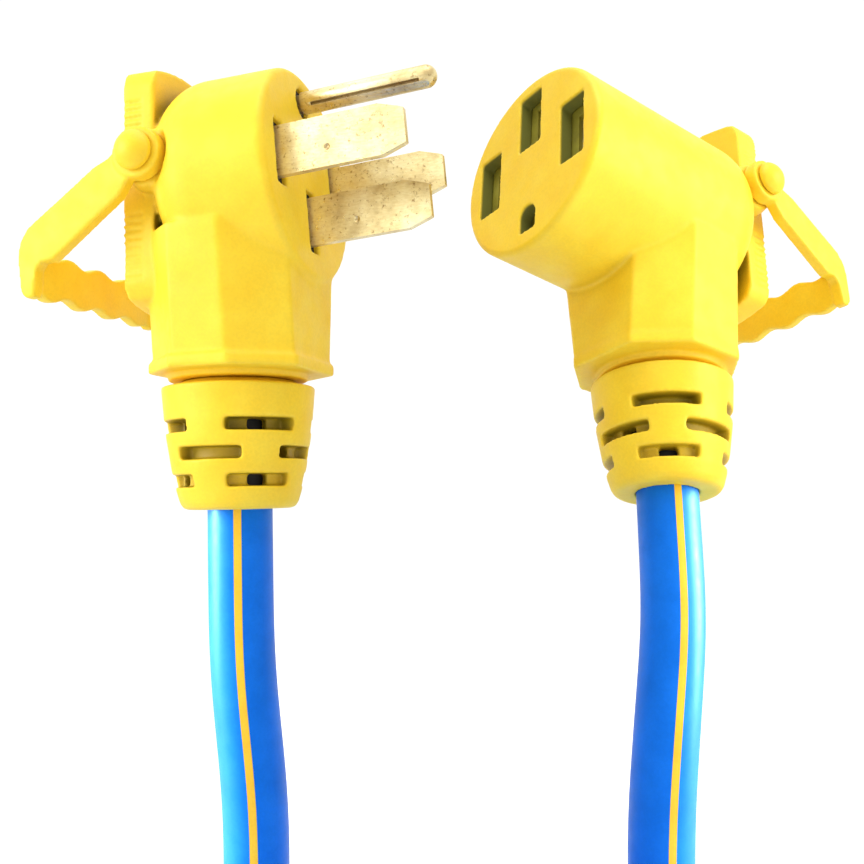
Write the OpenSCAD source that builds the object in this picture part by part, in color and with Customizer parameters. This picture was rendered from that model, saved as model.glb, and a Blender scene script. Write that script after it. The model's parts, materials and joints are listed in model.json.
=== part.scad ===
// Shore power cord for a recreational vehicle: an angled four-pole plug, an angled
// four-pole connector and the coiled cord between them. Millimetres, +Z up.
// The coil lies on the floor at z = 0, and the cord's two ends rise from it to the heads:
// the plug on the -X side, the connector on the +X side.

/* [Heads] */
// Radius of both round faces
face_r = 26.5; // [25.5:0.1:27.5]
// Draft of the barrel, added to the radius at its back
barrel_draft = 0.7; // [0.2:0.1:1.4]
// Neck axis to plug face
plug_reach = 20; // [18:0.5:24]
// Neck axis to connector face
connector_reach = 47; // [44:0.5:52]
// Upward tilt of the plug face
plug_tilt = 4.4; // [3:0.2:5]
// Upward tilt of the connector face
connector_tilt = 2.6; // [2:0.2:4]
// Half width of the back flange
flange_w = 18; // [17:0.5:19]

/* [Blades and windows] */
// Width of the blades
blade_w = 12.1; // [11.8:0.1:12.4]
// Thickness of the blades
blade_t = 1.9; // [1.7:0.1:2.1]
// How far the blades stand out
blade_len = 31; // [28:0.5:33]
// How far the ground pin stands out
ground_len = 35.4; // [33:0.2:38]
// Radius of the ground pin
ground_r = 2.8; // [2.6:0.05:3]
// Centre distance of the two line blades
line_spacing = 32.9; // [32:0.1:34]
// Depth of the windows in the connector face
window_depth = 4.5; // [3.5:0.5:5]

/* [Handles] */
// Radius of the handle eyes
eye_r = 6.2; // [5.8:0.1:6.6]
// Radius of the pivot pins
pin_r = 2.4; // [2:0.1:2.8]
// Height of the waves on the grip
wave = 0.8; // [0.6:0.1:1.3]

/* [Cord] */
// Radius of the cord
cord_r = 8.05; // [7.9:0.05:8.15]
// Thickness of the jacket
jacket_t = 1.65; // [1.4:0.05:1.8]
// Width of the coloured stripe
stripe_w = 1.9; // [1.4:0.1:2.4]
// Straight length in each loop of the coil
loop_len = 70; // [60:5:90]
// Pairs of half turns in the coil
coil_pairs = 5; // [3:1:5]

/* [Show] */
// Which piece to draw

/* [Hidden] */
$fn = 48;
overlap = 0.01;

yellow = [0.99, 0.87, 0.2];
blue = [0.08, 0.42, 0.86];
brass = [0.83, 0.71, 0.42];
dark = [0.07, 0.07, 0.07];
silver = [0.75, 0.75, 0.72];
black = [0.08, 0.08, 0.08];
red = [0.75, 0.08, 0.06];
white = [0.92, 0.92, 0.9];
green = [0.05, 0.45, 0.15];

// Head frame: origin where the barrel axis crosses the neck axis, face towards +X,
// neck down -Z. Each head leans about its flex centre, then turns about its neck.
shift = [11.9, -39.25, 0];           // moves the whole cord
plug_flex = [-54.4, 50, 145];        // flex centre just under the plug
connector_flex = [54.4, 52.8, 149.9];
flex_z = -111.2;                     // flex centre in the head frame
plug_lean = [0, -1.2, 0];
plug_turn = -16.3;
connector_lean = [-16.3, 1.5, 0];
connector_turn = 214.8;

// Back ends of the barrels and flanges, along the head's X
plug_back = -14;
connector_back = -20.5;
plug_flange_x = -21.5;
connector_flange_x = -28;
plug_flange_top = 30;
connector_flange_top = 31.5;

// Neck outline at its foot: [front x, back x, half width of the front and back facets,
// half width of the neck, front end and back end of the side facets]; back values count to -X
plug_neck = [20.3, 17.9, 11, 21, 7.4, 6.5];
connector_neck = [22.4, 17, 10.2, 20.6, 10.2, 7.2];
plug_lip = 1;       // how far the foot lip stands out
connector_lip = 0.3;

// Handle hinge centres in the head frame, and the angle each handle rests at
plug_hinge = [-12.4, 0, 3];
connector_hinge = [-19.2, 0, 9];
plug_handle_rest = -3.5;
connector_handle_rest = 3;
boss_top = 22.9;    // outer end of the hinge bosses, along Y

// Poles in the barrel frame; a blade place is [y, z]
line_y = line_spacing / 2;
line_z = 1.0;
plug_neutral_z = -11.7;
plug_ground_z = 18.95;
connector_neutral_z = 13.4;
connector_ground_z = -17.2;
plug_blades = [[-line_y, line_z], [line_y, line_z], [0, plug_neutral_z]];
connector_contacts = [[-line_y, line_z], [line_y, line_z], [0, connector_neutral_z]];

// Cord section
conductor_r = 2.1;
conductor_offset = 3.3;         // cord axis to conductor axis
jacket_inner_r = cord_r - jacket_t;
stripe_depth = 0.9;
stripe_gap = 0.01;              // between the stripe and its groove

// ---------------------------------------------------------------- frames
function head_up(lean) =
  [sin(lean[1]) * cos(lean[0]), -sin(lean[0]), cos(lean[1]) * cos(lean[0])];

module at_head(flex, lean, turn) {
  translate(shift) translate(flex - flex_z * head_up(lean))
    rotate(lean) rotate([0, 0, turn]) children();
}
module at_plug() { at_head(plug_flex, plug_lean, plug_turn) children(); }
module at_connector() { at_head(connector_flex, connector_lean, connector_turn) children(); }
// Barrel frame: the head frame with +X tilted up, out of the face
module tilt(angle) { rotate([0, -angle, 0]) children(); }
module in_plug() { at_plug() tilt(plug_tilt) children(); }
module in_connector() { at_connector() tilt(connector_tilt) children(); }
// Turns +Z to +X
module along_x() { rotate([0, 90, 0]) children(); }
// Turns +Z to +Y for side 1, to -Y for side -1
module outward(side) { rotate([-90 * side, 0, 0]) children(); }
// Box that starts at x and is centred on a place [y, z]
module block(x, place, size) {
  translate([x, place[0] - size[1] / 2, place[1] - size[2] / 2]) cube(size);
}

// ---------------------------------------------------------------- shells
module barrel_body(face_x, back_x) {
  dome_r = 14;      // rounding of the barrel's back
  back_r = face_r + barrel_draft;
  along_x() rotate_extrude($fn = 96) union() {
    polygon([[0, back_x - 3], [back_r - dome_r, back_x - 3], [back_r - dome_r, back_x],
      [back_r, back_x + dome_r], [face_r, face_x - 1], [face_r - 1, face_x], [0, face_x]]);
    intersection() {
      translate([back_r - dome_r, back_x + dome_r]) circle(r = dome_r, $fn = 96);
      translate([back_r - dome_r, back_x]) square([dome_r, dome_r]);
    }
  }
}

// Eight-sided slice of the neck; the columns of neck are those of plug_neck
module neck_slice(neck, height) {
  front = neck[0];
  back = -neck[1];
  facet = neck[2];
  side = neck[3];
  side_front = neck[4];
  side_back = -neck[5];
  linear_extrude(height) polygon([[side_front, -side], [front, -facet], [front, facet],
    [side_front, side], [side_back, side], [back, facet], [back, -facet], [side_back, -side]]);
}

module neck_body(neck, lip) {
  widen_top = [0, 0, 3.6, 3, -0.6, 0];
  widen_lip = lip * [1, 1, 0.6, 1, 0.6, 0.6];
  hull() {
    translate([0, 0, -14]) neck_slice(neck + widen_top, 0.5);
    translate([0, 0, -46.4]) neck_slice(neck, 0.5);
  }
  // foot lip and the round collar under it
  translate([0, 0, -47.6]) neck_slice(neck + widen_lip, 3);
  translate([0, 0, -49.2]) cylinder(r = 17.4, h = 3, $fn = 96);
}

// Flat upright plate: straight sides, large corners and a slightly arched top and bottom
module flange_plate(half_w, top, bottom, thick) {
  corner_r = 8;
  arch_r = 46;
  through = thick + 2 * overlap;
  intersection() {
    union() {
      translate([0, -half_w, bottom + corner_r])
        cube([thick, 2 * half_w, top - bottom - 2 * corner_r]);
      translate([0, -half_w + corner_r, bottom])
        cube([thick, 2 * half_w - 2 * corner_r, top - bottom]);
      for (side = [-1, 1], z = [bottom + corner_r, top - corner_r])
        translate([0, side * (half_w - corner_r), z])
          along_x() cylinder(r = corner_r, h = thick, $fn = 64);
    }
    union() {
      translate([-overlap, 0, top - arch_r])
        along_x() cylinder(r = arch_r, h = through, $fn = 128);
      translate([-overlap, -half_w - 1, bottom + 20]) cube([through, 2 * half_w + 2, 20]);
    }
    translate([-overlap, 0, bottom + arch_r])
      along_x() cylinder(r = arch_r, h = through, $fn = 128);
  }
}

module flange_body(flange_x, back_x, hinge, top) {
  lift = hinge[2] - 3;    // the plates are drawn for a hinge at z = 3
  boss_r = 7.6;
  taper_y = 20;           // where the boss starts to taper
  translate([flange_x, 0, lift]) flange_plate(flange_w, top, -32.5, back_x - flange_x + 1);
  // stepped back panel
  translate([flange_x - 1.2, 0, lift]) flange_plate(flange_w - 4, top - 4.5, -28, 1.3);
  // bosses that carry the handle
  for (side = [-1, 1]) translate(hinge) outward(side) {
    cylinder(r = boss_r, h = taper_y, $fn = 64);
    translate([0, 0, taper_y]) cylinder(r1 = boss_r, r2 = 6.8, h = boss_top - taper_y, $fn = 64);
  }
}

// Finger grooves in both edges of the flange, below and above the hinge
module flange_grooves(flange_x, hinge) {
  pitch = 1.95;
  heights = concat([for (i = [0:8]) -12 - i * pitch], [for (i = [0:3]) 10 + i * pitch]);
  for (side = [-1, 1], z = heights)
    translate([flange_x - 0.1, side * (flange_w + 0.35), hinge[2] + z])
      along_x() cylinder(r = 0.75, h = 5.6, $fn = 20);
}

// Stepped hollow of the barrel, wider towards the face
module chamber(end_x, back_x) {
  // [distance from the barrel's back, radius]
  for (step = [[2, 17], [6, 20], [10, 23]])
    along_x() translate([0, 0, back_x + step[0]])
      cylinder(r = step[1], h = end_x - back_x - step[0], $fn = 96);
}

// Round pockets that clear the handle eyes, and the holes of the pivot pins
module eye_pockets(hinge) {
  for (side = [-1, 1]) translate(hinge) outward(side) {
    translate([0, 0, boss_top]) cylinder(r = eye_r + 1.2, h = 8, $fn = 64);
    translate([0, 0, 18.5]) cylinder(r = pin_r, h = 8, $fn = 48);
  }
}

module neck_bore() {
  translate([0, 0, -52]) cylinder(r = 12.5, h = 50, $fn = 64);
  translate([-6, -19, -30]) cube([12, 38, 24]);
}

module plug_shell() color(yellow) at_plug() difference() {
  slot_x = plug_reach - 4;
  union() {
    tilt(plug_tilt) barrel_body(plug_reach, plug_back);
    neck_body(plug_neck, plug_lip);
    flange_body(plug_flange_x, plug_back, plug_hinge, plug_flange_top);
  }
  flange_grooves(plug_flange_x, plug_hinge);
  tilt(plug_tilt) {
    chamber(plug_reach - 3, plug_back);
    for (place = plug_blades) block(slot_x, place, [30, 5, 15.6]);
    translate([slot_x, 0, plug_ground_z]) along_x() cylinder(r = 3.8, h = 10);
  }
  neck_bore();
  eye_pockets(plug_hinge);
}

module connector_shell() color(yellow) at_connector() difference() {
  window_x = connector_reach - 8;
  window_heights = [18.4, 18.4, 17.3];
  union() {
    tilt(connector_tilt) barrel_body(connector_reach, connector_back);
    neck_body(connector_neck, connector_lip);
    flange_body(connector_flange_x, connector_back, connector_hinge, connector_flange_top);
  }
  flange_grooves(connector_flange_x, connector_hinge);
  tilt(connector_tilt) {
    chamber(connector_reach - window_depth, connector_back);
    for (i = [0:2]) block(window_x, connector_contacts[i], [20, 8.5, window_heights[i]]);
    // ground window: round top, square bottom
    translate([window_x, 0, connector_ground_z + 0.4]) along_x() cylinder(r = 3, h = 20);
    translate([window_x, -3, connector_ground_z - 4.2]) cube([20, 6, 4.6]);
  }
  neck_bore();
  eye_pockets(connector_hinge);
}

// ---------------------------------------------------------------- strain relief
quarters = [0, 90, 180, 270];

// [radius, z]
relief_profile = [
  [10.45, -39.5], [12.3, -39.5], [12.3, -49.3], [13.8, -49.3], [15.5, -50.3],
  [19.1, -50.9], [18.3, -60.3], [17.9, -63.5], [16.7, -71], [15.5, -76.6],
  [14.6, -79.6], [13.8, -80.8], [12.6, -81.2], [8.15, -81.2], [8.15, -78.4], [10.45, -77]];

// Four blind cuts round the relief, centred on the angle start, and
// through windows at the angles in windows, counted from start
module slot_ring(z, start, windows) {
  span = 58;
  for (quarter = quarters) rotate([0, 0, start + quarter - span / 2]) translate([0, 0, z])
    rotate_extrude(angle = span, $fn = 96) translate([13.6, -1.5]) square([12, 3]);
  for (angle = windows) rotate([0, 0, start + angle]) block(9, [0, z], [5.6, 4.6, 2.7]);
}

module strain_relief(upper_windows, middle_windows) color(yellow) difference() {
  rotate_extrude($fn = 96) polygon(relief_profile);
  slot_ring(-60.8, 45, upper_windows);
  slot_ring(-67.5, 0, middle_windows);
  slot_ring(-74.1, 45, quarters);
}
module plug_strain_relief() at_plug() strain_relief(quarters, [-14, 90, 180]);
module connector_strain_relief() at_connector() strain_relief([90, 180, 270], [0, 180, 270]);

module inner_sleeve() color(dark) difference() {
  bottom = -76.8;
  translate([0, 0, bottom]) cylinder(r = 10.4, h = 33, $fn = 64);
  translate([0, 0, bottom - 1]) cylinder(r = 8.1, h = 36, $fn = 64);
}
module plug_inner_sleeve() at_plug() inner_sleeve();
module connector_inner_sleeve() at_connector() inner_sleeve();

// ---------------------------------------------------------------- plug insides
module plug_core() color(dark) in_plug() difference() {
  back_x = 10.5;
  collar_x = plug_reach - 4;
  union() {
    along_x() translate([0, 0, back_x])
      cylinder(r = 22.9, h = plug_reach - 3 - back_x, $fn = 96);
    // collars that show as black lines around each blade
    for (place = plug_blades) block(collar_x, place, [2.6, 4.8, 15.4]);
    translate([collar_x, 0, plug_ground_z]) along_x() cylinder(r = 3.7, h = 2.6);
  }
  for (place = plug_blades) block(0, place, [40, blade_t + 0.1, blade_w + 0.1]);
  translate([0, 0, plug_ground_z]) along_x() cylinder(r = ground_r - 0.4, h = 40);
}

// Flat blade in the XZ plane with a narrow tail and a tapered tip
module blade(start_x) {
  tip_x = plug_reach + blade_len;
  body_x = start_x + 4;
  tail = 3;         // half heights, from tail to tip
  body = blade_w / 2;
  taper = blade_w * 0.36;
  tip = blade_w * 0.33;
  difference() {
    translate([0, -blade_t / 2, 0]) rotate([90, 0, 0]) mirror([0, 0, 1])
      linear_extrude(blade_t) polygon([[start_x, -tail], [body_x, -tail], [body_x, -body],
        [tip_x - 6, -body], [tip_x - 0.8, -taper], [tip_x, -tip], [tip_x, tip],
        [tip_x - 0.8, taper], [tip_x - 6, body], [body_x, body], [body_x, tail],
        [start_x, tail]]);
    // shallow detent in both flats
    for (side = [-1, 1]) translate([plug_reach + 12, side * (blade_t / 2 + 0.55), -1.5])
      sphere(r = 0.95, $fn = 24);
  }
}
module plug_line_blade_x() color(brass) in_plug() translate([0, -line_y, line_z]) blade(5.2);
module plug_line_blade_y() color(brass) in_plug() translate([0, line_y, line_z]) blade(5.2);
module plug_neutral_blade() color(brass) in_plug() translate([0, 0, plug_neutral_z]) blade(6.2);

module plug_ground_pin() color(brass) in_plug() translate([0, 0, plug_ground_z]) difference() {
  shank_x = plug_reach + 0.2;
  along_x() {
    translate([0, 0, 7]) cylinder(r = ground_r - 0.5, h = plug_reach - 6.7, $fn = 64);
    translate([0, 0, shank_x]) cylinder(r = ground_r, h = ground_len - ground_r - 0.2, $fn = 64);
    translate([0, 0, plug_reach + ground_len - ground_r]) sphere(r = ground_r, $fn = 64);
    translate([0, 0, 0.8]) cylinder(r = 2, h = 6.4, $fn = 32);
  }
  // the seam of the folded pin
  translate([plug_reach + 3, -ground_r - 1, -1.75]) cube([ground_len - 7, 2.3, 0.7]);
}

// Crimp barrel that joins a lead to its contact
module ferrule(place, length, bore_r) translate(place) along_x() difference() {
  cylinder(r = 3.35, h = length, $fn = 40);
  translate([0, 0, -1]) cylinder(r = bore_r, h = length + 2, $fn = 40);
}
module plug_ferrules() color(silver) in_plug() {
  for (side = [-1, 1]) ferrule([1.0, side * line_y, line_z], 4.1, 2.3);
  ferrule([2.0, 0.6, plug_neutral_z], 4.1, 2.3);
  ferrule([-1.3, 0, plug_ground_z], 2, 2.3);
}

module rod(from, to, r) {
  run = to - from;
  translate(from) rotate([0, acos(run[2] / norm(run)), atan2(run[1], run[0])])
    cylinder(r = r, h = norm(run), $fn = 32);
}

// Lead from the cord up the neck, straight rods with balls at the corners: it rises at
// start [x, y] to leave_z, slants to top [x, y] at arrive_z, rises again, cuts the
// corner by chamfer and runs along X to end [x, z]
module lead(start, top, end, leave_z, arrive_z, chamfer) {
  lead_r = 2;
  stops = [[start[0], start[1], flex_z + 10], [start[0], start[1], leave_z],
    [top[0], top[1], arrive_z], [top[0], top[1], end[1] - chamfer],
    [top[0] + chamfer, top[1], end[1]], [end[0], top[1], end[1]]];
  // every second rod is a little thinner
  for (i = [0:4]) rod(stops[i], stops[i + 1], lead_r - 0.03 * (i % 2));
  for (i = [1:4]) translate(stops[i]) sphere(r = lead_r + 0.08, $fn = 32);
}

module plug_lead(start, top, end, arrive_z, chamfer) {
  at_plug() lead(start, top, end, -38, arrive_z, chamfer);
}
module plug_line_lead(side) {
  plug_lead([0, side * conductor_offset], [-3, side * line_y], [4.8, line_z + 0.2], -12, 3);
}
module plug_lead_black() color(black) plug_line_lead(-1);
module plug_lead_red() color(red) plug_line_lead(1);
module plug_lead_white() color(white)
  plug_lead([conductor_offset, 0], [-1, 0.6], [5.8, plug_neutral_z + 0.3], -20, 2.7);
module plug_lead_green() color(green)
  plug_lead([-conductor_offset, 0], [-5.2, 0], [-0.9, plug_ground_z - 0.2], -18, 1.8);

// ---------------------------------------------------------------- connector insides
contact_end_x = connector_reach - window_depth - 1.2;

module connector_core() color(dark) in_connector() difference() {
  back_x = 24;
  along_x() translate([0, 0, back_x])
    cylinder(r = 22.9, h = connector_reach - window_depth - back_x - 0.02, $fn = 96);
  for (place = connector_contacts) {
    block(26, place, [40, 3.6, 13.2]);
    block(20, place, [40, 1.3, 4.1]);
  }
  translate([20, 0, connector_ground_z]) along_x() cylinder(r = 3.75, h = 40, $fn = 48);
}

// Two jaws and a bridge, open towards the face, with a tail at the back
module spring_contact() {
  start_x = 27;
  width = 13;
  thick = 3.5;      // over both jaws
  jaw_t = 0.7;
  tail = 5.5;
  for (y = [-thick / 2, thick / 2 - jaw_t])
    translate([start_x, y, -width / 2]) cube([contact_end_x - start_x, jaw_t, width]);
  block(start_x, [0, 0], [1, thick, width]);
  block(start_x - tail, [0, 0], [tail + 0.2, 1.2, 4]);
}
module connector_line_contact_x() color(brass) in_connector()
  translate([0, -line_y, line_z]) spring_contact();
module connector_line_contact_y() color(brass) in_connector()
  translate([0, line_y, line_z]) spring_contact();
module connector_neutral_contact() color(brass) in_connector()
  translate([0, 0, connector_neutral_z]) spring_contact();

module connector_ground_sleeve() color(brass) in_connector()
  translate([0, 0, connector_ground_z]) along_x() difference() {
    back_x = 24.5;
    union() {
      translate([0, 0, back_x]) cylinder(r = 3.7, h = contact_end_x - back_x, $fn = 48);
      translate([0, 0, back_x - 3]) cylinder(r = 2, h = 3.2, $fn = 32);
    }
    translate([0, 0, back_x + 2]) cylinder(r = ground_r + 0.1, h = 40, $fn = 48);
  }

module connector_ferrules() color(silver) in_connector() {
  for (side = [-1, 1]) ferrule([15.5, side * line_y, line_z], 6, 2.2);
  ferrule([15.5, 0.4, connector_neutral_z], 6, 2.3);
  ferrule([15.5, 0, connector_ground_z], 6, 2.2);
}

// Height in the head frame of a barrel-frame height z, 18 mm along the tilted barrel
function tilted_z(z) = z * cos(connector_tilt) + 18 * sin(connector_tilt);

module connector_lead(start, top, end_x, contact_z) {
  end_z = tilted_z(contact_z);
  at_connector() lead(start, top, [end_x, end_z], -40, min(-15, end_z - 9), 4.8);
}
module connector_line_lead(side) {
  connector_lead([0, side * conductor_offset], [2, side * line_y], 20.6, line_z);
}
module connector_lead_black() color(black) connector_line_lead(-1);
module connector_lead_red() color(red) connector_line_lead(1);
module connector_lead_white() color(white)
  connector_lead([-conductor_offset, 0], [-7, 0.4], 20.2, connector_neutral_z);
module connector_lead_green() color(green)
  connector_lead([conductor_offset, 0], [4, 0], 20.6, connector_ground_z);

// ---------------------------------------------------------------- cord in the heads
stub_top = -52;
stub_len = stub_top - flex_z;

// Jacket with a solid ball end at the flex centre
module stub() color(blue) rotate_extrude($fn = 64) difference() {
  union() {
    translate([0, flex_z]) intersection() {
      circle(r = cord_r, $fn = 64);
      translate([0, -cord_r]) square([cord_r, 2 * cord_r]);
    }
    translate([0, flex_z]) square([cord_r, stub_len]);
  }
  translate([-overlap, flex_z + 6]) square([jacket_inner_r + overlap, 100]);
}
// The head's turn is undone, so that the stripe lines up with the one on the cord
module grooved_stub(head_turn) difference() {
  stub();
  rotate([0, 0, -head_turn]) translate([-stripe_w / 2, -cord_r - 1, flex_z + 0.6])
    cube([stripe_w, 1 + stripe_depth, stub_len + 1]);
}
module stub_stripe(head_turn) color(yellow) intersection() {
  rotate([0, 0, -head_turn])
    translate([-stripe_w / 2 + stripe_gap, -cord_r - 1, flex_z + 0.62])
      cube([stripe_w - 2 * stripe_gap, 1 + stripe_depth - stripe_gap, stub_len - 0.64]);
  translate([0, 0, flex_z + 0.1]) cylinder(r = cord_r - stripe_gap, h = stub_len, $fn = 64);
}
module plug_cord_stub() at_plug() grooved_stub(plug_turn);
module connector_cord_stub() at_connector() grooved_stub(connector_turn);
module plug_stub_stripe() at_plug() stub_stripe(plug_turn);
module connector_stub_stripe() at_connector() stub_stripe(connector_turn);

// ---------------------------------------------------------------- handles
arm_y = 23.3;       // inner side of the arms
arm_t = 3.2;
eye_t = 3.8;

// Arm seen from the side: [x, z] from the hinge
arm_outline = [
  [-3, 3.5], [-8, -0.2], [-11.5, -1.4], [-31.2, -13.4], [-33.4, -16.5], [-34.2, -20],
  [-33.9, -28.6], [-32.6, -30.4], [-30.2, -30.4], [-29.2, -24], [-27.6, -22.2],
  [-24.4, -22.2], [-5.5, -9.8], [-1, -4]];

// Wavy edge of the grip at height z, for the given range of steps out of 48
function grip_edge(z, steps) = [
  for (i = steps)
    let (y = -arm_y - 1 + i * (2 * arm_y + 2) / 48)
      [y, z + wave * cos(y * 360 / 12.6)]];

// Handle turned about its hinge by the angle it rests at
module handle(hinge, rest) translate(hinge) rotate([0, rest, 0]) {
  for (side = [-1, 1]) difference() {
    union() {
      outward(side) translate([0, 0, arm_y]) cylinder(r = eye_r, h = eye_t, $fn = 64);
      translate([0, side > 0 ? arm_y + arm_t : -arm_y, 0]) rotate([90, 0, 0])
        linear_extrude(arm_t) polygon(arm_outline);
    }
    outward(side) translate([0, 0, arm_y - 1])
      cylinder(r = pin_r + 0.15, h = eye_t + 2, $fn = 48);
  }
  // finger grip between the arms, both edges wavy
  translate([-30.3, 0, 0]) rotate([0, 7, 0]) rotate([90, 0, 90]) linear_extrude(3.5)
    polygon(concat(grip_edge(-18.9, [0:48]), grip_edge(-29.4, [48:-1:0])));
}
module plug_handle() color(yellow) at_plug() handle(plug_hinge, plug_handle_rest);
module connector_handle() color(yellow) at_connector()
  handle(connector_hinge, connector_handle_rest);

// Pin with a domed head at its outer end
module pivot_pin() {
  head_r = 4.7;
  cylinder(r = pin_r - 0.02, h = 9, $fn = 48);
  translate([0, 0, 8.8]) cylinder(r = head_r, h = 1.2, $fn = 48);
  translate([0, 0, 10]) intersection() {
    translate([0, 0, -3.2]) sphere(r = 5.7, $fn = 64);
    cylinder(r = head_r, h = 4, $fn = 48);
  }
}
module pivot_pins(hinge) color(yellow) for (side = [-1, 1])
  translate(hinge) outward(side) translate([0, 0, 18.6]) pivot_pin();
module plug_pivot_pins() at_plug() pivot_pins(plug_hinge);
module connector_pivot_pins() at_connector() pivot_pins(connector_hinge);

// ---------------------------------------------------------------- cord
coil_pitch = 2 * cord_r + 0.9;
coil_r = 51;        // first half turn
floor_bend_r = 50;  // bends between the floor and the rising ends
end_len = 12;       // cord beside a flex centre that stays straight
cup_start = 7;      // flex centre to the cord's end face
half_turns = 2 * coil_pairs;

// The S-bend climbs one pitch: two arcs rise 2 * (1 - 0.8) radii over 1.2 radii of length
climb_r = coil_pitch / 0.4;
climb_angle = acos(0.8);

coil_end_x = plug_flex[0] - coil_pairs * coil_pitch;
return_y = connector_flex[1] - floor_bend_r;

// Half turns that widen by half a pitch each, with a straight after each one
coil = [for (k = [0:half_turns - 1])
  each [[0, coil_r + k * coil_pitch / 2, 180], [loop_len]]];

// From the plug's flex centre to the connector's: [length] or [direction, radius, angle].
// The climb and a shorter straight take the place of the coil's last straight.
path = concat(
  [[plug_flex[2] - end_len - floor_bend_r - cord_r], [90, floor_bend_r, 90]],
  [for (i = [0:len(coil) - 2]) coil[i]],
  [[90, climb_r, climb_angle], [-90, climb_r, climb_angle],
   [loop_len - 1.2 * climb_r - return_y],
   [0, (connector_flex[0] - coil_end_x) / 2, 180], [90, floor_bend_r, 90],
   [connector_flex[2] - end_len - floor_bend_r - cord_r - coil_pitch]]);

// Cross-section of "jacket", "stripe", "filler" or, for a number, of the conductor that
// many quarter turns from +X. The stripe faces +Y.
module section(what) {
  if (what == "jacket") difference() {
    circle(r = cord_r, $fn = 64);
    circle(r = jacket_inner_r, $fn = 64);
    translate([-stripe_w / 2, cord_r - stripe_depth]) square([stripe_w, 2]);
  }
  if (what == "stripe") intersection() {
    circle(r = cord_r - stripe_gap, $fn = 64);
    translate([-stripe_w / 2 + stripe_gap, cord_r - stripe_depth + stripe_gap])
      square([stripe_w - 2 * stripe_gap, 2]);
  }
  // the round strand between the four conductors
  if (what == "filler") circle(r = conductor_offset - conductor_r - 0.05, $fn = 32);
  if (is_num(what)) rotate(90 * what) translate([conductor_offset, 0])
    circle(r = conductor_r, $fn = 32);
}

// A bend that ends exactly on its end plane
module arc(angle) {
  if (angle % 90 == 0) rotate_extrude(angle = angle, $fn = 72) children();
  else intersection() {
    rotate_extrude(angle = 90, $fn = 72) children();
    rotate([0, 0, angle]) translate([-10, -100, -20]) cube([110, 100, 40]);
  }
}

// Frame at the end of a bend towards +X
module after_bend(radius, angle) {
  translate([radius - radius * cos(angle), 0, radius * sin(angle)])
    rotate([0, angle, 0]) children();
}

// Draws step i of the path along +Z, then the rest of the path from its end
module walk(i, what) {
  if (i < len(path)) {
    step = path[i];
    if (len(step) == 1) {
      linear_extrude(step[0]) section(what);
      translate([0, 0, step[0]]) walk(i + 1, what);
    } else {
      direction = step[0];
      radius = step[1];
      angle = step[2];
      rotate([0, 0, direction]) {
        // lays the arc in the XZ plane, its centre on +X
        multmatrix([[-1, 0, 0, radius], [0, 0, 1, 0], [0, 1, 0, 0], [0, 0, 0, 1]])
          arc(angle) translate([radius, 0]) mirror([1, 0]) rotate(-direction) section(what);
        after_bend(radius, angle) rotate([0, 0, -direction]) walk(i + 1, what);
      }
    }
  }
}

// Frame at a flex centre with +Z down
module at_flex(flex) { translate(shift + flex) rotate([180, 0, 0]) children(); }
module at_both_ends() {
  at_flex(plug_flex) children();
  at_flex(connector_flex) children();
}
module cord(what) { at_flex(plug_flex) translate([0, 0, end_len]) walk(0, what); }

// Last piece beside each flex centre: solid, with a shallow cup for the ball of the stub
module cup_end() difference() {
  translate([0, 0, cup_start]) cylinder(r = cord_r, h = end_len - cup_start, $fn = 64);
  sphere(r = 8.4, $fn = 64);
  translate([-stripe_w / 2, cord_r - stripe_depth, 0]) cube([stripe_w, 2, 20]);
}
module cup_stripe() {
  translate([0, 0, cup_start]) linear_extrude(end_len - cup_start) section("stripe");
}

module cord_jacket() color(blue) {
  cord("jacket");
  at_both_ends() cup_end();
}
module cord_stripe() color(yellow) {
  cord("stripe");
  at_both_ends() cup_stripe();
}
module cord_filler() color(silver) cord("filler");
module cord_conductor_black() color(black) cord(1);
module cord_conductor_red() color(red) cord(3);
module cord_conductor_white() color(white) cord(0);
module cord_conductor_green() color(green) cord(2);

plug_shell();
plug_strain_relief();
plug_inner_sleeve();
plug_core();
plug_line_blade_x();
plug_line_blade_y();
plug_neutral_blade();
plug_ground_pin();
plug_ferrules();
plug_lead_black();
plug_lead_red();
plug_lead_white();
plug_lead_green();
plug_cord_stub();
plug_stub_stripe();
plug_pivot_pins();
plug_handle();
connector_shell();
connector_strain_relief();
connector_inner_sleeve();
connector_core();
connector_line_contact_x();
connector_line_contact_y();
connector_neutral_contact();
connector_ground_sleeve();
connector_ferrules();
connector_lead_black();
connector_lead_red();
connector_lead_white();
connector_lead_green();
connector_cord_stub();
connector_stub_stripe();
connector_pivot_pins();
connector_handle();
cord_jacket();
cord_stripe();
cord_filler();
cord_conductor_black();
cord_conductor_red();
cord_conductor_white();
cord_conductor_green();
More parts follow.
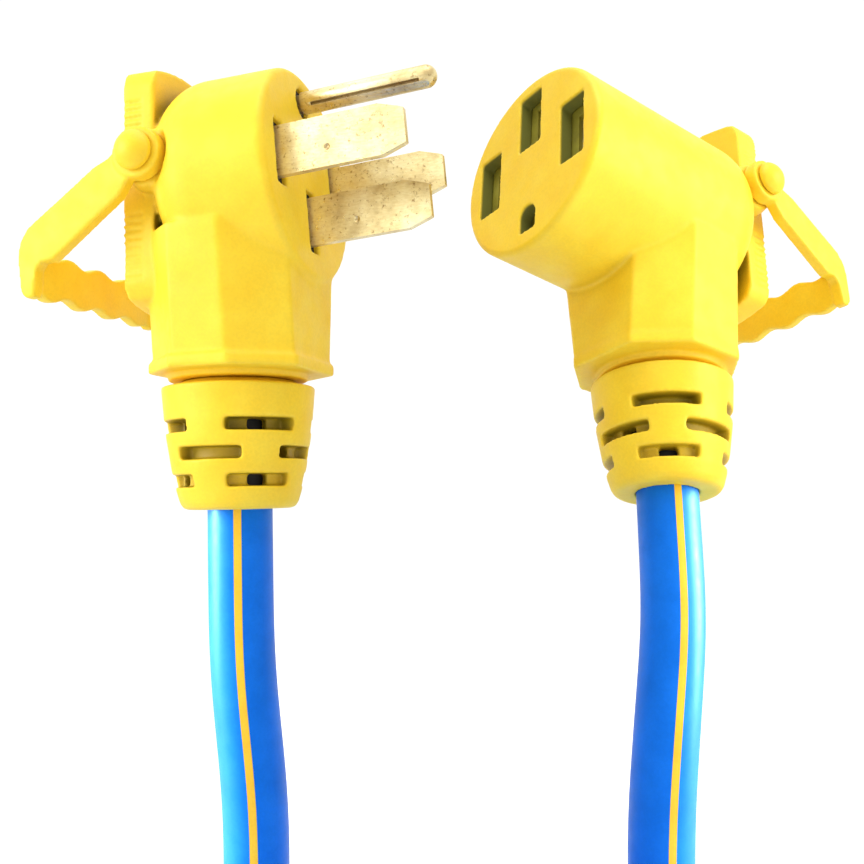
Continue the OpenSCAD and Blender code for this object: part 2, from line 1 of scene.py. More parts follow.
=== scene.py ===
# A power cord with its two moulded heads. The plug head (-X side) and the connector head (+X side)
# stand above a flat oval coil that lies on the floor in the XY plane. +Z is up, the front is -Y.
# In a head's own axes +X points out of its face and +Z up, with the cord pivot straight below.
import json
import math
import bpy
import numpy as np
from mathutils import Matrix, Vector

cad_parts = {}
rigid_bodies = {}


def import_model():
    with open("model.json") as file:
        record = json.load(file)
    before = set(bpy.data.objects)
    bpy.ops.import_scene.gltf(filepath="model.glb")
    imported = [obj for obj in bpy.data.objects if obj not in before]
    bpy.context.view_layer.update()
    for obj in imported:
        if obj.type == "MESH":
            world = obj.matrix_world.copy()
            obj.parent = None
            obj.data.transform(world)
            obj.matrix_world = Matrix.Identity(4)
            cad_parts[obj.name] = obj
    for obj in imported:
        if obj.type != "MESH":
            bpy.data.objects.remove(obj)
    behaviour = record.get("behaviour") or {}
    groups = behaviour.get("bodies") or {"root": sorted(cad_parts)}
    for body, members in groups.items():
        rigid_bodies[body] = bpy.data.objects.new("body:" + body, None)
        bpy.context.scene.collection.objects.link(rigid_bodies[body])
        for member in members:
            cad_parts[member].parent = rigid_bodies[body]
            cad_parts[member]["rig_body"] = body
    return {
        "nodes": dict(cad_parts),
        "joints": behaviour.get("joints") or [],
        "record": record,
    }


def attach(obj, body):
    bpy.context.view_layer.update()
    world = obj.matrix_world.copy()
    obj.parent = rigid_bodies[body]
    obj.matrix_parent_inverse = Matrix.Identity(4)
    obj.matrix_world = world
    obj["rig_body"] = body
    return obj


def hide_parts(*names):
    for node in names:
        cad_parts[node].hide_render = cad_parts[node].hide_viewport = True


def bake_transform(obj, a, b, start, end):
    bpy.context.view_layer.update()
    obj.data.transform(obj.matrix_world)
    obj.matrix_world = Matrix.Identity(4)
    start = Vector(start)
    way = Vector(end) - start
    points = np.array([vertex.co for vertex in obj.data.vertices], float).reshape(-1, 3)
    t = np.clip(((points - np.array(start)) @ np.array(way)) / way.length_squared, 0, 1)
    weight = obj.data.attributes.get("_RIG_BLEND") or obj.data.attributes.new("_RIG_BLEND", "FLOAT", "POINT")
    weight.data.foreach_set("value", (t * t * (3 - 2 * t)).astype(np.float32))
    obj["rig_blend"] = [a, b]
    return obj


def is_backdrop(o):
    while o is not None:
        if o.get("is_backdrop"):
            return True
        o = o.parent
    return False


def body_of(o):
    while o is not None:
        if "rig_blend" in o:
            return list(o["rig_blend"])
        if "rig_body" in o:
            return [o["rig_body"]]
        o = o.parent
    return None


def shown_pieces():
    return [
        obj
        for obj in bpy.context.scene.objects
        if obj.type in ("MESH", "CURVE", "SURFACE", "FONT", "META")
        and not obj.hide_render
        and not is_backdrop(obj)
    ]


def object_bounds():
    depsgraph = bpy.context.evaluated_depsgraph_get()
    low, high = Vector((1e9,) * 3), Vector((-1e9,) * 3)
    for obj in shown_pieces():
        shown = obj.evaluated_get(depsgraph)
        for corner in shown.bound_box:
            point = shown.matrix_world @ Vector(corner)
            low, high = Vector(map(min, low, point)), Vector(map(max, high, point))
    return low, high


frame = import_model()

from types import SimpleNamespace

import bmesh
import bpy
import numpy as np
from mathutils import Matrix, Vector
from mathutils.geometry import tessellate_polygon

lo0, hi0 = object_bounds()
NODES = frame["nodes"]
JOINTS = {joint["name"]: joint for joint in frame["joints"]}
SCENE = bpy.context.scene
MM = 0.001

# ------------------------------------------------------------------ sizes shared with the CAD (mm)
CORD_R = 8.05
JACKET_T = 1.65
STRIPE_W = 1.9
COND_R = 2.1          # one insulated conductor
COND_OFFSET = 3.3     # from the cord's axis to a conductor's axis
PIVOT_Z = -111.2      # cord pivot in a head's own axes


def rotation(axis, degrees):
    return np.array(Matrix.Rotation(math.radians(degrees), 3, axis), float)


def make_head(side, turn, face_x, flange_x, rib_z):
    """where a head stands, and the places in its own axes that guide the easing"""
    pivot = np.array(JOINTS[side + "_cord_flex"]["pos_m"]) * 1000
    up = turn @ [0, 0, 1.0]
    return SimpleNamespace(turn=turn, pivot=pivot, up=up, origin=pivot - PIVOT_Z * up,
                           face_x=face_x, flange_x=flange_x, rib_z=rib_z)


PLUG = make_head("plug", rotation("Y", -1.2) @ rotation("Z", -16.3),
                 face_x=20, flange_x=-21.6, rib_z=3)
CONNECTOR = make_head("connector", rotation("Y", 1.5) @ rotation("X", -16.3) @ rotation("Z", 214.8),
                      face_x=47, flange_x=-28, rib_z=9)
HEADS = {"plug": PLUG, "connector": CONNECTOR}

# ------------------------------------------------------------------ materials (lengths in metres)
WHITE = (1, 1, 1)


class Graph:
    """a node tree with short ways to add what the materials share; colours are given as RGB"""

    def __init__(self, tree):
        self.nodes, self.links = tree.nodes, tree.links

    def add(self, kind, inputs=None, **settings):
        node = self.nodes.new(kind)
        for key, value in settings.items():
            setattr(node, key, value)
        for key, value in (inputs or {}).items():
            socket = node.inputs[key]
            if isinstance(value, bpy.types.NodeSocket):
                self.links.new(value, socket)
            else:
                socket.default_value = (*value, 1.0) if socket.type == "RGBA" else value
        return node

    def noise(self, scale, detail=4.0, rough=0.55, coord=None):
        return self.add("ShaderNodeTexNoise", {
            "Scale": scale, "Detail": detail, "Roughness": rough, "Vector": coord or self.coord,
        }).outputs["Fac"]

    def ramp(self, factor, stops):
        node = self.add("ShaderNodeValToRGB", {"Fac": factor})
        elements = node.color_ramp.elements
        for element, (position, color) in ((elements[0], stops[0]), (elements[1], stops[-1])):
            element.position, element.color = position, (*color, 1.0)
        for position, color in stops[1:-1]:
            elements.new(position).color = (*color, 1.0)
        return node.outputs["Color"]

    def remap(self, value, to_low, to_high, low=0.3, high=0.7):
        return self.add("ShaderNodeMapRange", {
            "From Min": low, "From Max": high, "To Min": to_low, "To Max": to_high, "Value": value,
        }).outputs["Result"]

    def mix(self, factor, first, second, mode="MIX"):
        return self.add("ShaderNodeMix", {0: factor, 6: first, 7: second},
                        data_type="RGBA", blend_type=mode).outputs[2]

    def bump(self, height, strength, distance):
        return self.add("ShaderNodeBump", {
            "Strength": strength, "Distance": distance, "Height": height}).outputs["Normal"]

    def pointiness(self):
        return self.add("ShaderNodeNewGeometry").outputs["Pointiness"]

    def surface(self, inputs):
        shader = self.add("ShaderNodeBsdfPrincipled", inputs)
        self.add("ShaderNodeOutputMaterial", {"Surface": shader.outputs["BSDF"]})


def new_material(name):
    material = bpy.data.materials.new(name)
    material.use_nodes = True
    material.node_tree.nodes.clear()
    graph = Graph(material.node_tree)
    graph.coord = graph.add("ShaderNodeTexCoord").outputs["Object"]
    return material, graph


def plastic(name, dark, base, light, rough, grain=2600, grain_height=0.00002, specular=0.4,
            metallic=0.0, worn=0.0, subsurface=0.0, tint=None, crevice_shade=None):
    """slow mottling, fine surface grain and uneven gloss; worn pales the outer edges and
    the crevice colour is painted shade that darkens narrow hollows"""
    material, g = new_material(name)
    color = g.ramp(g.noise(scale=90, detail=5.0), [(0.3, dark), (0.5, base), (0.72, light)])
    speckle = g.ramp(g.noise(scale=1500, detail=3.0), [(0.35, (0.94, 0.94, 0.94)), (0.65, WHITE)])
    color = g.mix(1.0, color, speckle, "MULTIPLY")
    if worn:
        color = g.mix(g.remap(g.pointiness(), 0.0, worn, low=0.52, high=0.6), color, light)
    if crevice_shade:
        # painted shade: ambient occlusion darkens hollows in the base colour
        hollow = g.add("ShaderNodeAmbientOcclusion", {"Distance": 0.006},
                       only_local=True, samples=6).outputs["AO"]
        shade = g.ramp(hollow, [(0.22, crevice_shade), (0.6, (0.82, 0.8, 0.6)), (0.86, WHITE)])
        color = g.mix(1.0, color, shade, "MULTIPLY")
        # painted shade: olive on the walls of an opening, where the mesh marks them
        recess_shade = g.add("ShaderNodeAttribute", attribute_name="recess_shade").outputs["Fac"]
        color = g.mix(recess_shade, color, (0.2, 0.2, 0.04))
    inputs = {
        "Base Color": color,
        "Metallic": metallic,
        "Roughness": g.remap(g.noise(scale=240), *rough),
        "Specular IOR Level": specular,
        "Normal": g.bump(g.noise(scale=grain, detail=3.0), strength=0.35, distance=grain_height),
    }
    if tint:
        inputs["Specular Tint"] = tint
    if subsurface:
        inputs["Subsurface Weight"] = subsurface
        inputs["Subsurface Radius"] = (0.002, 0.0012, 0.0004)
        inputs["Subsurface Scale"] = 1.0
    g.surface(inputs)
    return material


def brass(name):
    """stamped brass: drawn streaks along the blade, brown specks, darker hollow corners"""
    material, g = new_material(name)
    color = g.ramp(g.noise(scale=120, detail=6.0, rough=0.6), [
        (0.3, (0.56, 0.43, 0.2)), (0.5, (0.79, 0.67, 0.34)), (0.7, (0.92, 0.83, 0.5))])
    specks = g.ramp(g.noise(scale=950, detail=5.0, rough=0.7), [
        (0.33, (0.34, 0.2, 0.09)), (0.43, WHITE), (1.0, WHITE)])
    color = g.mix(0.75, color, specks, "MULTIPLY")
    # noise drawn out along one axis, turned to follow the blades
    stretched = g.add("ShaderNodeMapping", {
        "Rotation": (0, math.radians(4), math.radians(16)),
        "Scale": (60, 2200, 2200),
        "Vector": g.coord,
    }).outputs["Vector"]
    streak = g.noise(scale=1.0, detail=3.0, coord=stretched)
    streak_color = g.ramp(streak, [(0.35, (0.72, 0.6, 0.42)), (0.65, WHITE)])
    color = g.mix(0.35, color, streak_color, "MULTIPLY")
    corners = g.remap(g.pointiness(), 0.0, 0.6, low=0.5, high=0.46)
    color = g.mix(corners, color, (0.3, 0.19, 0.09))
    g.surface({
        "Base Color": color,
        "Metallic": 0.75,
        "Roughness": g.remap(g.noise(scale=420), 0.26, 0.46),
        "Normal": g.bump(streak, strength=0.3, distance=0.00003),
    })
    return material


PLASTICS = {
    "yellow_moulding": dict(
        dark=(0.93, 0.6, 0.016), base=(0.95, 0.64, 0.022), light=(0.97, 0.69, 0.034),
        # the crevice colour is painted shade for the hollows of the moulding
        rough=(0.42, 0.56), worn=0.25, subsurface=0.06, specular=0.35, crevice_shade=(0.2, 0.22, 0.12)),
    "blue_jacket": dict(
        dark=(0.004, 0.125, 0.6), base=(0.006, 0.145, 0.68), light=(0.009, 0.17, 0.76),
        rough=(0.36, 0.48), grain=1800, grain_height=0.00003, specular=0.6, tint=(0.08, 0.62, 1.0)),
    "stripe": dict(
        dark=(0.95, 0.5, 0.015), base=(0.99, 0.58, 0.02), light=(1.0, 0.64, 0.03),
        rough=(0.4, 0.5), grain=1800),
    "black_moulding": dict(
        dark=(0.008, 0.008, 0.008), base=(0.016, 0.015, 0.014), light=(0.03, 0.028, 0.025),
        rough=(0.5, 0.7)),
    "tinned_copper": dict(
        dark=(0.42, 0.41, 0.38), base=(0.6, 0.59, 0.56), light=(0.75, 0.74, 0.7),
        rough=(0.3, 0.45), metallic=0.8),
    "filler_yarn": dict(
        dark=(0.6, 0.56, 0.46), base=(0.72, 0.69, 0.6), light=(0.82, 0.8, 0.72),
        rough=(0.8, 0.95), grain=900, grain_height=0.0001),
    "insulation_black": dict(
        dark=(0.01, 0.01, 0.01), base=(0.02, 0.02, 0.02), light=(0.035, 0.035, 0.035),
        rough=(0.35, 0.5)),
    "insulation_red": dict(
        dark=(0.4, 0.012, 0.01), base=(0.52, 0.02, 0.015), light=(0.6, 0.03, 0.02),
        rough=(0.35, 0.5)),
    "insulation_white": dict(
        dark=(0.72, 0.71, 0.67), base=(0.8, 0.79, 0.76), light=(0.86, 0.85, 0.83),
        rough=(0.35, 0.5)),
    "insulation_green": dict(
        dark=(0.008, 0.18, 0.05), base=(0.012, 0.25, 0.07), light=(0.02, 0.32, 0.1),
        rough=(0.35, 0.5)),
    # the insert inside the connector's openings is a real part, but its dark olive is painted shade: the
    # yellow's tone in shadow
    "olive_moulding": dict(
        dark=(0.24, 0.21, 0.02), base=(0.34, 0.3, 0.03), light=(0.42, 0.38, 0.05),
        rough=(0.45, 0.6)),
}
MATERIALS = {name: plastic(name, **look) for name, look in PLASTICS.items()}
MATERIALS["brass"] = brass("brass")


def set_material(obj, slot):
    obj.data.materials.clear()
    obj.data.materials.append(MATERIALS[slot])


def new_object(name, mesh, slot):
    obj = bpy.data.objects.new(name, mesh)
    SCENE.collection.objects.link(obj)
    set_material(obj, slot)
    return obj


# every carried-over CAD node gets the procedural material of its own slot
for row in frame["record"]["subparts"]:
    set_material(NODES[row["node"]], row["material_slot"])


# ------------------------------------------------------------------ mouldings eased from the CAD
VOXEL = 0.42   # mm
EASE_STEP = 0.5                       # share of the way to the neighbours' mean in one pass


def smooth_mesh(mesh, passes, weight=None):
    count = len(mesh.vertices)
    co = np.zeros(count * 3, np.float64)
    mesh.vertices.foreach_get("co", co)
    co = co.reshape(-1, 3)
    ends = np.zeros(len(mesh.edges) * 2, np.int64)
    mesh.edges.foreach_get("vertices", ends)
    a, b = ends.reshape(-1, 2).T
    degree = np.maximum(np.bincount(a, minlength=count) + np.bincount(b, minlength=count), 1)
    share = EASE_STEP if weight is None else EASE_STEP * weight(co)[:, None]
    for _ in range(passes):
        sums = [np.bincount(a, co[b, k], count) + np.bincount(b, co[a, k], count)
                for k in range(3)]
        co += share * (np.stack(sums, 1) / degree[:, None] - co)
    mesh.vertices.foreach_set("co", co.ravel())
    mesh.update()


def moulded(node, name, body, voxel, easing, recess_shade=None):
    """a copy of the CAD solid, remeshed evenly and eased so that its corners carry a moulded
    radius; easing lists (passes, weight function), recess marks where olive shade is painted"""
    bm = bmesh.new()
    bm.from_mesh(NODES[node].data)
    bmesh.ops.remove_doubles(bm, verts=bm.verts, dist=2e-6)
    source = bpy.data.meshes.new(name)
    bm.to_mesh(source)
    bm.free()
    temporary = bpy.data.objects.new(name + "_tmp", source)
    SCENE.collection.objects.link(temporary)
    remesh = temporary.modifiers.new("even", "REMESH")
    remesh.mode, remesh.voxel_size, remesh.adaptivity = "VOXEL", voxel * MM, 0.0
    depsgraph = bpy.context.evaluated_depsgraph_get()
    mesh = bpy.data.meshes.new_from_object(temporary.evaluated_get(depsgraph), depsgraph=depsgraph)
    bpy.data.objects.remove(temporary)
    mesh.name = name
    for passes, weight in easing:
        smooth_mesh(mesh, passes, weight)
    mesh.polygons.foreach_set("use_smooth", [True] * len(mesh.polygons))
    # painted shade: a vertex mark for the olive shade on the walls of openings
    if recess_shade:
        co = np.zeros(len(mesh.vertices) * 3)
        mesh.vertices.foreach_get("co", co)
        marks = recess_shade(co.reshape(-1, 3)).astype(np.float32)
        mesh.attributes.new("recess_shade", "FLOAT", "POINT").data.foreach_set("value", marks)
    obj = new_object(name, mesh, "yellow_moulding")
    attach(obj, body)
    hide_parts(node)


def head_axes(co, head):
    """x, y, z in millimetres in the head's own axes"""
    return ((co * 1000 - head.origin) @ head.turn).T


def smoothstep(x, start, end):
    t = np.clip((x - start) / (end - start), 0, 1)
    return t * t * (3 - 2 * t)


def shell_weight(head):
    """the face keeps crisp slots and the flange its finger ribs; the rest is eased fully"""
    def weight(co):
        x, y, z = head_axes(co, head)
        face = (np.hypot(y, z) < 23.5) & (x > head.face_x - 8)
        rib = (np.abs(y) > 16.4) & (x < head.flange_x + 6.2) & (np.abs(z - head.rib_z) < 31)
        return np.where(face, 0.3, np.where(rib, 0.12, 1.0))
    return weight


def seam_weight(head):
    """only where the round barrel, radius 27, runs into the faceted neck below it"""
    def weight(co):
        x, y, z = head_axes(co, head)
        from_barrel = np.abs(np.hypot(y, z) - 27)
        return ((1 - smoothstep(from_barrel, 1.5, 5.0)) * smoothstep(-z, 6, 14)
                * (1 - smoothstep(np.abs(x), 24, 30)))
    return weight


# openings in the connector's face: centre y, half width, centre z, half height
WINDOW_TILT = math.radians(2.6)
WINDOWS = [
    (16.45, 4.7, 1, 9.7),
    (-16.45, 4.7, 1, 9.7),
    (0, 4.7, 13.4, 9.1),
    (0, 3.5, -17.5, 4.4),
]


def window_walls(co):
    """1 on the walls of the openings, where olive shade is painted on them"""
    head_x, y, head_z = head_axes(co, CONNECTOR)
    x = head_x * math.cos(WINDOW_TILT) + head_z * math.sin(WINDOW_TILT)
    z = head_z * math.cos(WINDOW_TILT) - head_x * math.sin(WINDOW_TILT)
    inside = np.zeros(len(co), bool)
    for y0, half_y, z0, half_z in WINDOWS:
        inside |= (np.abs(y - y0) < half_y) & (np.abs(z - z0) < half_z)
    return np.where(inside & (x > 41), 1 - smoothstep(x, 46.1, 46.8), 0.0)


for side, head in HEADS.items():
    moulded(side + "_shell", side + "_shell_moulding", side + "_head", VOXEL,
            [(7, shell_weight(head)), (6, seam_weight(head))],
            window_walls if head is CONNECTOR else None)
for side in HEADS:
    body = side + "_head"
    moulded(side + "_strain_relief", side + "_strain_relief_moulding", body, VOXEL * 0.85,
            [(5, None)])
    moulded(side + "_handle", side + "_handle_moulding", side + "_handle", VOXEL * 0.8,
            [(9, None)])
    moulded(side + "_pivot_pins", side + "_pivot_pin_caps", body, VOXEL * 0.6, [(4, None)])

# stamped metal: exact CAD shape with broken edges
for name in ("plug_line_blade_x", "plug_line_blade_y", "plug_neutral_blade", "plug_ground_pin"):
    weld = NODES[name].modifiers.new("weld", "WELD")
    weld.merge_threshold = 2e-6
    bevel = NODES[name].modifiers.new("edge", "BEVEL")
    bevel.width, bevel.segments = 0.16 * MM, 2
    bevel.limit_method, bevel.angle_limit = "ANGLE", math.radians(45)

# ------------------------------------------------------------------ line of the cord (mm)
STEP = 3.0                    # spacing of the centre points
PITCH = 2 * CORD_R + 0.9      # between neighbouring turns of the coil
FLOOR_BEND_R = 50.0           # bends between the hanging ends and the floor
HALF_TURNS = 10
FIRST_TURN_R = 51
COIL_STRAIGHT = 70.0          # between two half turns
CROSSING_COS = 0.8            # cosine of the slope where the cord climbs over the coil
CLOSING_Y = 39.25             # brings the line's end to the connector pivot in y
HEAD_RUN = 59.2               # from a pivot up into the head
HEAD_UP = [0, -1.0, 0]        # the stripe faces the front inside both heads

# set of the hanging ends: (distance along the cord from the pivot, sideways offset)
PLUG_SET_X = np.array([
    (0, 0), (8, 0.35), (17, 1.15), (30, 2.8), (41, 4.0), (60, 4.7), (87, 3.5), (130, 0.9),
    (165, 0)]).T
CONNECTOR_SET_X = np.array([
    (0, 0), (10, -1.0), (21, -2.6), (46, -5.4), (65, -5.8), (90, -4.0), (120, -1.2), (145, 0)]).T
CONNECTOR_SET_Y = np.array([
    (0, 0), (10, -2.3), (21, -4.2), (33, -5.8), (46, -6.8), (60, -6.6), (85, -4.0), (115, -1.0),
    (140, 0)]).T


def turned(vector, axis, angle):
    return (vector * math.cos(angle) + np.cross(axis, vector) * math.sin(angle)
            + axis * (axis @ vector) * (1 - math.cos(angle)))


def cord_path():
    """a number is a straight; a bend is (degrees from the side axis towards the stripe,
    radius, degrees swept)"""
    plug, connector = PLUG.pivot, CONNECTOR.pivot
    climb_r = PITCH / (2 * (1 - CROSSING_COS))
    climb_angle = math.degrees(math.acos(CROSSING_COS))
    climb_length = 2 * climb_r * math.sqrt(1 - CROSSING_COS ** 2)
    coil_end_x = plug[0] - HALF_TURNS / 2 * PITCH
    closing_run = connector[1] + CLOSING_Y - FLOOR_BEND_R
    path = [plug[2] - FLOOR_BEND_R - CORD_R, (90, FLOOR_BEND_R, 90)]
    for k in range(HALF_TURNS):
        if k:
            path.append(COIL_STRAIGHT)
        path.append((0, FIRST_TURN_R + k * PITCH / 2, 180))
    # over the coil, round its outside and up to the connector
    path += [
        (90, climb_r, climb_angle),
        (-90, climb_r, climb_angle),
        COIL_STRAIGHT - climb_length - closing_run,
        (0, (connector[0] - coil_end_x) / 2, 180),
        (90, FLOOR_BEND_R, 90),
        connector[2] - FLOOR_BEND_R - CORD_R - PITCH,
    ]
    return path


def walk(path, start):
    """centre points and stripe directions along the path, starting straight down"""
    place = start.copy()
    side, stripe, heading = np.array([[1.0, 0, 0], [0, -1.0, 0], [0, 0, -1.0]])
    points, stripes = [place.copy()], [stripe.copy()]
    for piece in path:
        if not isinstance(piece, tuple):
            count = max(1, round(piece / STEP))
            for i in range(1, count + 1):
                points.append(place + heading * piece * i / count)
                stripes.append(stripe.copy())
            place = place + heading * piece
            continue
        direction, radius, swept = math.radians(piece[0]), piece[1], math.radians(piece[2])
        inward = math.cos(direction) * side + math.sin(direction) * stripe
        axis, centre = np.cross(heading, inward), place + radius * inward
        count = max(3, round(radius * swept / STEP))
        for i in range(1, count + 1):
            angle = swept * i / count
            points.append(centre + turned(-radius * inward, axis, angle))
            stripes.append(turned(stripe, axis, angle))
        place = points[-1].copy()
        side, stripe, heading = (turned(v, axis, swept) for v in (side, stripe, heading))
    return np.array(points), np.array(stripes)


def arc_lengths(points):
    return np.concatenate([[0], np.cumsum(np.linalg.norm(np.diff(points, axis=0), axis=1))])


def ease_near_pivots(points):
    """soften the line around both pivots, but not where it is already up inside a head"""
    for _ in range(14):
        mean = points.copy()
        mean[1:-1] = 0.5 * points[1:-1] + 0.25 * (points[:-2] + points[2:])
        distances, rises = [], []
        for head in HEADS.values():
            offset = points - head.pivot
            distance = np.linalg.norm(offset, axis=1)
            distances.append(distance)
            rises.append(offset @ head.up * (distance < 70))
        below = np.where(np.maximum(*rises) > 26, 0.0, 1.0)
        share = ((1 - smoothstep(np.minimum(*distances), 90, 130)) * below)[:, None]
        points = points * (1 - share) + mean * share
    return points


def cord_line():
    """centre points, stripe directions, tangents and arc lengths from inside the plug to
    inside the connector"""
    points, stripes = walk(cord_path(), PLUG.pivot)
    along = arc_lengths(points)
    back = along[-1] - along
    points[:, 0] += np.interp(along, *PLUG_SET_X)
    points[:, 0] += np.interp(back, *CONNECTOR_SET_X)
    points[:, 1] += np.interp(back, *CONNECTOR_SET_Y)
    count = int(HEAD_RUN / STEP)
    in_plug = [PLUG.pivot + PLUG.up * HEAD_RUN * (count - i) / count for i in range(count)]
    in_connector = [CONNECTOR.pivot + CONNECTOR.up * HEAD_RUN * i / count
                    for i in range(1, count + 1)]
    points = ease_near_pivots(np.vstack([in_plug, points, in_connector]))
    in_head = np.tile(HEAD_UP, (count, 1))
    stripes = np.vstack([in_head, stripes, in_head])
    tangents = np.gradient(points, axis=0)
    tangents /= np.linalg.norm(tangents, axis=1)[:, None]
    along = arc_lengths(points)
    stripes = stripes - (np.sum(stripes * tangents, 1))[:, None] * tangents
    stripes /= np.linalg.norm(stripes, axis=1)[:, None]
    # the stripe drifts slowly from -6 to +6 degrees round the cord
    roll = np.radians(-6 + 12 * along / along[-1])[:, None]
    stripes = np.cos(roll) * stripes + np.sin(roll) * np.cross(tangents, stripes)
    return points, stripes, tangents, along


# ------------------------------------------------------------------ sections of the cord (mm)
# section x points to the stripe
GROOVE_HALF_W = STRIPE_W / 2 + 0.02
GROOVE_BOTTOM = CORD_R - 0.93
STRIPE_BOTTOM = CORD_R - 0.9
STRIPE_TOP_R = CORD_R + 0.02
JACKET_ARC_STEPS = 52


def circle(radius, count, x=0.0, y=0.0):
    angles = [2 * math.pi * i / count for i in range(count)]
    return [(x + radius * math.cos(t), y + radius * math.sin(t)) for t in angles]


def jacket_loops():
    start = math.asin(GROOVE_HALF_W / CORD_R)
    outer = [(GROOVE_BOTTOM, GROOVE_HALF_W)]
    for i in range(JACKET_ARC_STEPS + 1):
        t = start + (2 * math.pi - 2 * start) * i / JACKET_ARC_STEPS
        outer.append((CORD_R * math.cos(t), CORD_R * math.sin(t)))
    outer.append((GROOVE_BOTTOM, -GROOVE_HALF_W))
    return [outer, circle(CORD_R - JACKET_T, 28)[::-1]]


def stripe_loops():
    half = STRIPE_W / 2
    top = [(math.sqrt(STRIPE_TOP_R ** 2 - y * y), y) for y in (-half, -half / 2, 0, half / 2, half)]
    return [[(STRIPE_BOTTOM, -half)] + top + [(STRIPE_BOTTOM, half)]]


def conductor_loops(quarter):
    angle = math.radians(90 * quarter)
    return [circle(COND_R, 12, COND_OFFSET * math.cos(angle), COND_OFFSET * math.sin(angle))]


def filler_loops():
    return [circle(COND_OFFSET - COND_R - 0.05, 12)]


def sweep(name, points, normals, tangents, loops, slot):
    """closed solid: every loop of the section carried along the line, both ends capped"""
    section = [p for loop in loops for p in loop]
    width, count = len(section), len(points)
    flat = np.array(section)
    verts = (points[:, None, :] + flat[None, :, 0:1] * normals[:, None, :]
             + flat[None, :, 1:2] * np.cross(tangents, normals)[:, None, :]) * MM
    faces, start = [], 0
    for loop in loops:
        for i in range(count - 1):
            here, there = i * width + start, (i + 1) * width + start
            for j in range(len(loop)):
                k = (j + 1) % len(loop)
                faces.append((here + j, here + k, there + k, there + j))
        start += len(loop)
    for triangle in tessellate_polygon([[Vector((*p, 0)) for p in loop] for loop in loops]):
        tri = [int(i) for i in triangle]
        a, b, c = (section[i] for i in tri)
        if (b[0] - a[0]) * (c[1] - a[1]) - (b[1] - a[1]) * (c[0] - a[0]) < 0:
            tri.reverse()
        faces.append((tri[2], tri[1], tri[0]))
        faces.append(tuple((count - 1) * width + i for i in tri))
    mesh = bpy.data.meshes.new(name)
    mesh.from_pydata(verts.reshape(-1, 3).tolist(), [], faces)
    bm = bmesh.new()
    bm.from_mesh(mesh)
    bmesh.ops.recalc_face_normals(bm, faces=bm.faces)
    bm.to_mesh(mesh)
    bm.free()
    mesh.polygons.foreach_set("use_smooth", [True] * len(mesh.polygons))
    mesh.set_sharp_from_angle(angle=math.radians(40))
    return new_object(name, mesh, slot)


points, normals, tangents, along = cord_line()


def index_from(head, distance):
    """first centre point at the given distance along the cord past the head's pivot"""
    nearest = int(np.argmin(np.linalg.norm(points - head.pivot, axis=1)))
    return int(np.searchsorted(along, along[nearest] + distance))


PLUG_CUT, CONNECTOR_CUT = index_from(PLUG, 205), index_from(CONNECTOR, -195)
# first and last centre point of each part, for the outside and for what is within the jacket
OUTER_SPANS = {
    "plug": (0, PLUG_CUT),
    "coil": (PLUG_CUT, CONNECTOR_CUT),
    "connector": (CONNECTOR_CUT, len(points) - 1),
}
INNER_SPANS = {
    "plug": (index_from(PLUG, -10) + 1, PLUG_CUT),
    "coil": OUTER_SPANS["coil"],
    "connector": (CONNECTOR_CUT, index_from(CONNECTOR, 10) - 1),
}


def cord_layer(base, loops, slot, spans, replaced):
    """one layer of the cord in its three parts; the ends bend between the coil and a head"""
    for (part, (first, last)), node in zip(spans.items(), replaced):
        index = list(range(first, last + 1))
        if spans is INNER_SPANS and part == "coil":
            index = index[:-1:2] + [index[-1]]
        obj = sweep(base + "_" + part, points[index], normals[index], tangents[index], loops, slot)
        if part == "coil":
            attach(obj, "cord")
        else:
            head = HEADS[part]
            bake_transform(obj, "cord", part + "_head",
                     start=tuple((head.pivot - head.up * 46) * MM),
                     end=tuple((head.pivot + head.up * 28) * MM))
        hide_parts(node)


cord_layer("jacket", jacket_loops(), "blue_jacket", OUTER_SPANS,
           ["plug_cord_stub", "cord_jacket", "connector_cord_stub"])
cord_layer("stripe", stripe_loops(), "stripe", OUTER_SPANS,
           ["plug_stub_stripe", "cord_stripe", "connector_stub_stripe"])
cord_layer("filler", filler_loops(), "filler_yarn", INNER_SPANS, ["cord_filler"] * 3)
for k, color in enumerate(("white", "black", "green", "red")):
    cord_layer("conductor_" + color, conductor_loops(k), "insulation_" + color, INNER_SPANS,
               ["cord_conductor_" + color] * 3)


# ------------------------------------------------------------------ studio (metres)
def area(name, place, target, size, power, color=WHITE):
    light = bpy.data.lights.new(name, "AREA")
    light.shape, light.energy, light.color = "RECTANGLE", power, color
    light.size, light.size_y = size
    obj = bpy.data.objects.new(name, light)
    SCENE.collection.objects.link(obj)
    obj.location = place
    obj.rotation_mode = "QUATERNION"
    obj.rotation_quaternion = (Vector(target) - Vector(place)).to_track_quat("-Z", "Y")
    return obj


EDGE_COLOR = (1.0, 1.0, 0.8)
side_lights = {
    "left": area("soft_left", place=(-1.05, -0.5, 0.55), target=(-0.05, 0.03, 0.2),
                 size=(0.8, 0.8), power=11.5),
    "right": area("soft_right", place=(1.05, -0.45, 0.55), target=(0.08, 0.03, 0.2),
                  size=(0.8, 0.8), power=11.5),
    "left_edge": area("soft_left_edge", place=(-1.15, -0.04, 0.36), target=(-0.05, 0.02, 0.1),
                      size=(0.35, 0.7), power=62.0, color=EDGE_COLOR),
    "right_edge": area("soft_right_edge", place=(1.2, 0.04, 0.36), target=(0.06, 0.02, 0.1),
                       size=(0.35, 0.7), power=48.0, color=EDGE_COLOR),
}
area("soft_top", place=(0.0, -0.1, 1.3), target=(0, 0.03, 0.2), size=(1.3, 1.0), power=4.5)
area("soft_centre", place=(0.01, -0.14, 0.6), target=(0.0, 0.03, 0.27), size=(0.25, 0.25),
     power=0.5)
lit = {key: bpy.data.collections.new("lit_" + key) for key in side_lights}
for key, light in side_lights.items():
    light.light_linking.receiver_collection = lit[key]


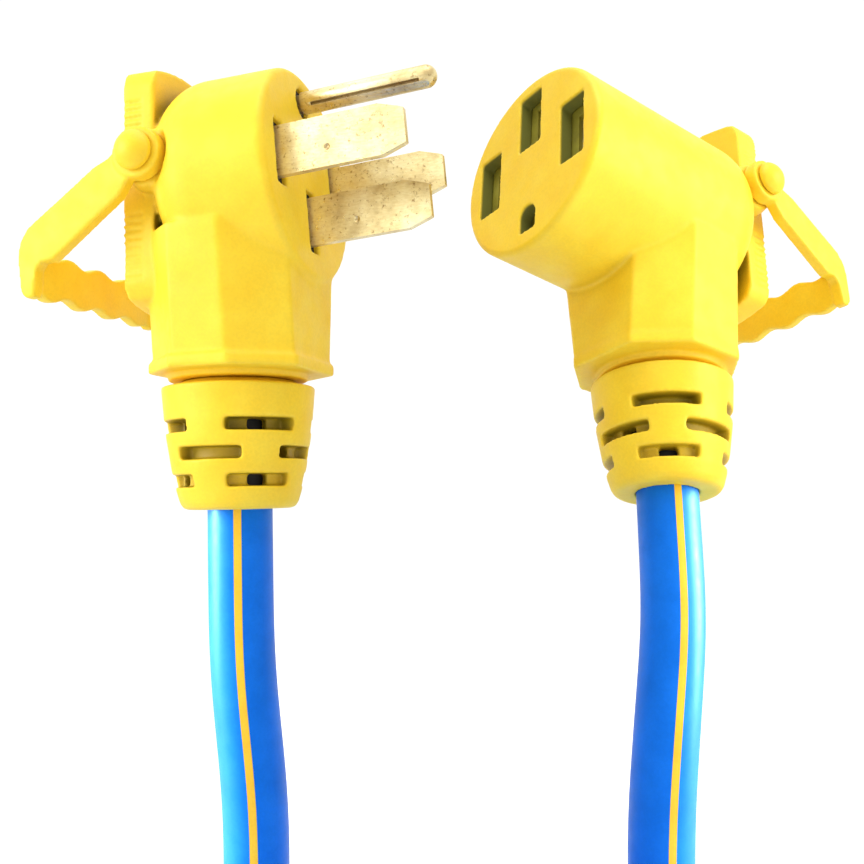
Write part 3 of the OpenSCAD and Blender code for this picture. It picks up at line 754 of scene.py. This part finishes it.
def build_world():
    """white surroundings, brighter to the camera and in reflections than as fill light"""
    world = bpy.data.worlds.new("studio")
    SCENE.world = world
    world.use_nodes = True
    g = Graph(world.node_tree)
    background = g.nodes["Background"]
    background.inputs["Color"].default_value = (*WHITE, 1)
    ray = g.add("ShaderNodeLightPath").outputs
    seen = g.remap(ray["Is Camera Ray"], 0.6, 1.05, low=0.0, high=1.0)
    strength = g.add("ShaderNodeMath", {0: ray["Is Glossy Ray"], 1: 0.7, 2: seen},
                     operation="MULTIPLY_ADD")
    g.links.new(strength.outputs["Value"], background.inputs["Strength"])


def floor_material():
    material, g = new_material("pale_floor")
    color = g.ramp(g.noise(scale=3.0, detail=3.0), [
        (0.3, (0.86, 0.86, 0.86)), (0.7, (0.9, 0.9, 0.9))])
    camera_ray = g.add("ShaderNodeLightPath").outputs["Is Camera Ray"]
    g.surface({
        "Base Color": color,
        "Roughness": 0.9,
        "Specular IOR Level": 0.1,
        "Emission Color": WHITE,
        "Emission Strength": g.remap(camera_ray, 0.0, 0.52, low=0.0, high=1.0),
    })
    return material


def build_floor():
    """wide enough that its edge is never seen, and just below the product"""
    material = floor_material()
    bm = bmesh.new()
    bmesh.ops.create_circle(bm, cap_ends=True, radius=9.0, segments=96)
    mesh = bpy.data.meshes.new("floor")
    bm.to_mesh(mesh)
    bm.free()
    floor = bpy.data.objects.new("floor", mesh)
    SCENE.collection.objects.link(floor)
    floor.location = (0, 0, lo0.z - 0.0002)
    mesh.materials.append(material)
    floor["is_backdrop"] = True
    return floor


def link_lights(objects):
    """each side light falls on its own head; the coil and the floor take both, and the edge
    lights fall on the jacket only"""
    for obj in objects:
        bodies = " ".join(body_of(obj) or [])
        shared = not ("plug" in bodies or "connector" in bodies)
        for key, side in (("left", "plug"), ("right", "connector")):
            if side in bodies or shared:
                lit[key].objects.link(obj)
                if obj.name.startswith("jacket"):
                    lit[key + "_edge"].objects.link(obj)


build_world()
floor = build_floor()
link_lights(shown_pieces() + [floor])

camera_data = bpy.data.cameras.new("camera")
camera_data.sensor_width, camera_data.lens = 36.0, 40.33
camera_data.clip_start, camera_data.clip_end = 0.01, 60
camera = bpy.data.objects.new("camera", camera_data)
SCENE.collection.objects.link(camera)
camera.location = (0.0051, -0.23345, 0.1797)
camera.rotation_euler = (math.radians(93.43), 0, 0)
SCENE.camera = camera
SCENE.view_settings.view_transform = "Standard"
SCENE.view_settings.look = "None"
